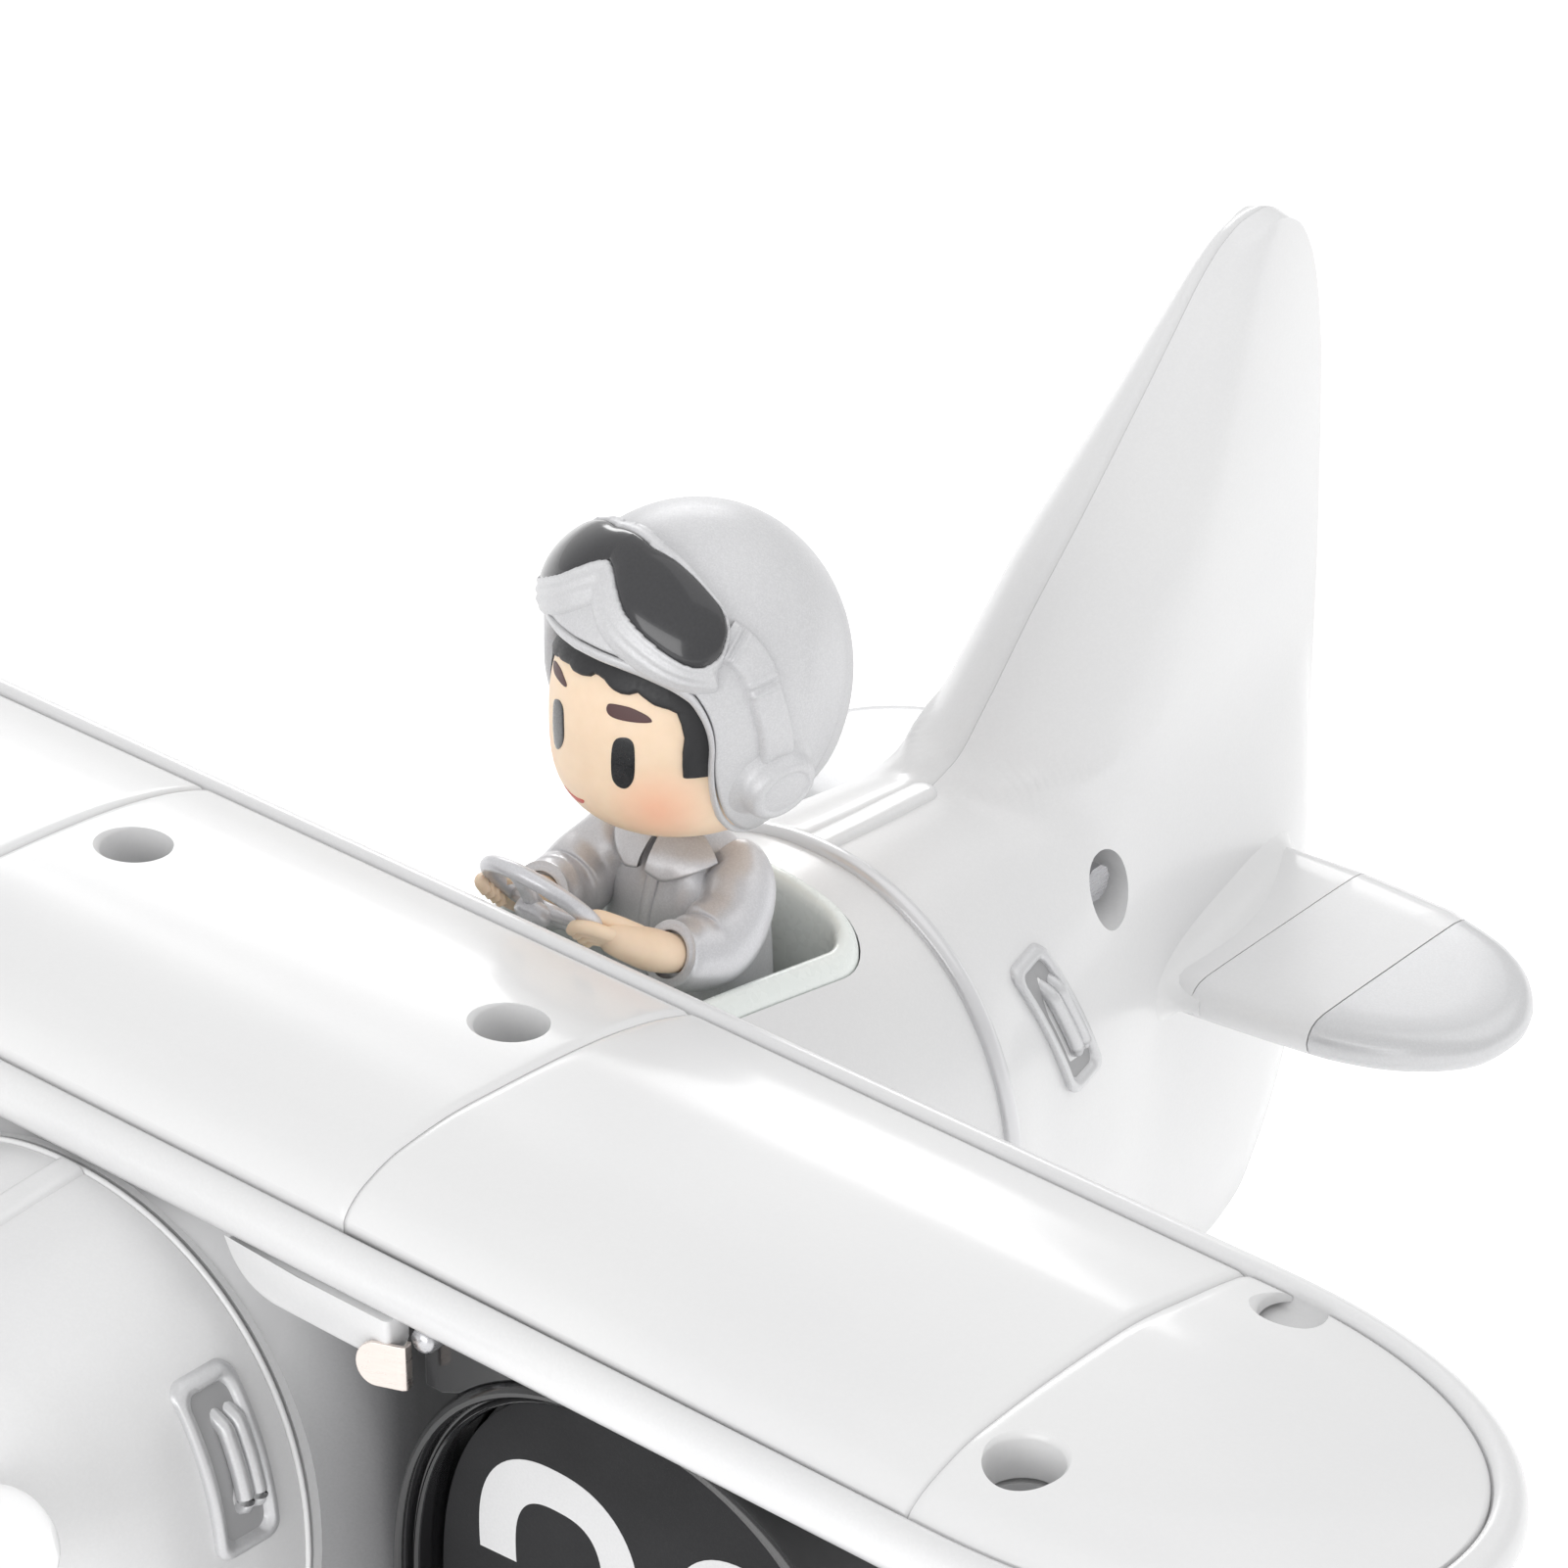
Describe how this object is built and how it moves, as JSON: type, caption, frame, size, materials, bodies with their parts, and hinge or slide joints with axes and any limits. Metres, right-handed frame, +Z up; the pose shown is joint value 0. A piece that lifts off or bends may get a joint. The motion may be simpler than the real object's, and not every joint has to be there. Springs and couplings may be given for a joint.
{
  "type": "desk flip clock shaped like a propeller biplane",
  "caption": "Toy biplane desk clock: split-flap hour and minute displays between the wings, pilot figurine in the cockpit, spinning propeller, rolling wheels.",
  "frame": {"origin": "on the table, under the middle of the clock's bounding box", "axes": "+Z up, -Y towards the propeller, +Y towards the tail, +X towards the pilot's left hand (port side)"},
  "size_m": [0.33, 0.2844, 0.1664],
  "materials": {
    "pearl": "pearl white lacquer, glossy",
    "silver": "fine metallic silver lacquer",
    "black": "black, satin to glossy",
    "card": "matte black leaves with pale grey digits",
    "cockpit": "off-white, glossy",
    "jacket": "metallic grey paint on plastic",
    "skin": "matte skin tone",
    "steel": "bright zinc",
    "nickel": "bright nickel plate",
    "rubber": "matte black",
    "acetal": "natural acetal"
  },
  "bodies": {
    "airframe": {"nose_cowl": "pearl", "fuselage_left_shell": "pearl", "fuselage_right_shell": "pearl", "tail_left_shell": "pearl", "tail_right_shell": "pearl", "left_stabiliser": "pearl", "right_stabiliser": "pearl", "upper_wing_bottom": "pearl", "upper_wing_top": "pearl", "lower_wing": "pearl", "minute_rear_cover": "pearl", "hour_rear_cover": "pearl", "left_gear_leg": "pearl", "right_gear_leg": "pearl", "front_trim_ring": "silver", "rear_trim_ring": "silver", "rear_vent_left": "silver", "rear_vent_right": "silver", "nose_vent_left": "silver", "nose_vent_right": "silver", "left_stabiliser_tip": "silver", "right_stabiliser_tip": "silver", "minute_pylon": "silver", "hour_pylon": "silver", "tail_wheel_fork": "silver", "minute_housing": "black", "hour_housing": "black", "movement_case": "black", "battery_tray": "black", "minute_upper_leaves": "card", "minute_lower_leaves": "card", "hour_upper_leaves": "card", "hour_lower_leaves": "card", "cockpit_tub": "cockpit", "pilot_body": "jacket", "pilot_helmet": "jacket", "steering_wheel": "jacket", "pilot_head": "skin", "tail_screw": "steel", "wing_screw_left": "steel", "wing_screw_right": "steel", "main_axle": "steel", "minute_leaf_clip": "nickel", "hour_leaf_clip": "nickel"},
    "propeller_rotor": {"propeller": "silver", "propeller_shaft": "steel"},
    "left_main_wheel": {"left_tyre": "rubber", "left_wheel_hub": "silver"},
    "right_main_wheel": {"right_tyre": "rubber", "right_wheel_hub": "silver"},
    "tail_roller": {"tail_wheel": "rubber"},
    "minute_drum": {"minute_spool": "acetal", "minute_spindle": "steel", "setting_knob": "black"},
    "hour_drum": {"hour_spool": "acetal", "hour_spindle": "steel"},
    "pinion": {"motor_pinion": "acetal"},
    "minute_leaf": {"minute_falling_leaf": "card"},
    "hour_leaf": {"hour_falling_leaf": "card"},
    "hatch": {"battery_hatch": "pearl"}
  },
  "joints": [
    {"name": "propeller_spin", "type": "hinge", "parent": "airframe", "child": "propeller_rotor", "pos_m": [0, -0.1312, 0.0955], "axis": [0, 1, 0], "continuous": true},
    {"name": "left_wheel_spin", "type": "hinge", "parent": "airframe", "child": "left_main_wheel", "pos_m": [0.052, -0.0842, 0.02], "axis": [1, 0, 0], "continuous": true},
    {"name": "right_wheel_spin", "type": "hinge", "parent": "airframe", "child": "right_main_wheel", "pos_m": [-0.052, -0.0842, 0.02], "axis": [1, 0, 0], "continuous": true},
    {"name": "tail_wheel_spin", "type": "hinge", "parent": "airframe", "child": "tail_roller", "pos_m": [0, 0.1038, 0.008], "axis": [1, 0, 0], "continuous": true},
    {"name": "minute_drum_turn", "type": "hinge", "parent": "airframe", "child": "minute_drum", "pos_m": [0.07675, -0.0602, 0.088], "axis": [1, 0, 0], "continuous": true},
    {"name": "hour_drum_turn", "type": "hinge", "parent": "airframe", "child": "hour_drum", "pos_m": [-0.07675, -0.0602, 0.088], "axis": [1, 0, 0], "continuous": true},
    {"name": "motor_pinion_turn", "type": "hinge", "parent": "airframe", "child": "pinion", "pos_m": [0.017, -0.046, 0.088], "axis": [1, 0, 0], "continuous": true},
    {"name": "minute_leaf_fall", "type": "hinge", "parent": "airframe", "child": "minute_leaf", "pos_m": [0.07675, -0.0768, 0.088], "axis": [1, 0, 0], "range_deg": [0, 176]},
    {"name": "hour_leaf_fall", "type": "hinge", "parent": "airframe", "child": "hour_leaf", "pos_m": [-0.07675, -0.0768, 0.088], "axis": [1, 0, 0], "range_deg": [0, 176]},
    {"name": "battery_hatch_out", "type": "slide", "parent": "airframe", "child": "hatch", "axis": [0, 0, -1], "range_m": [0, 0.03]}
  ],
  "couplings": [
    {"joint": "hour_drum_turn", "follows": "minute_drum_turn", "ratio": 0.041667},
    {"joint": "motor_pinion_turn", "follows": "minute_drum_turn", "ratio": -2.5}
  ]
}
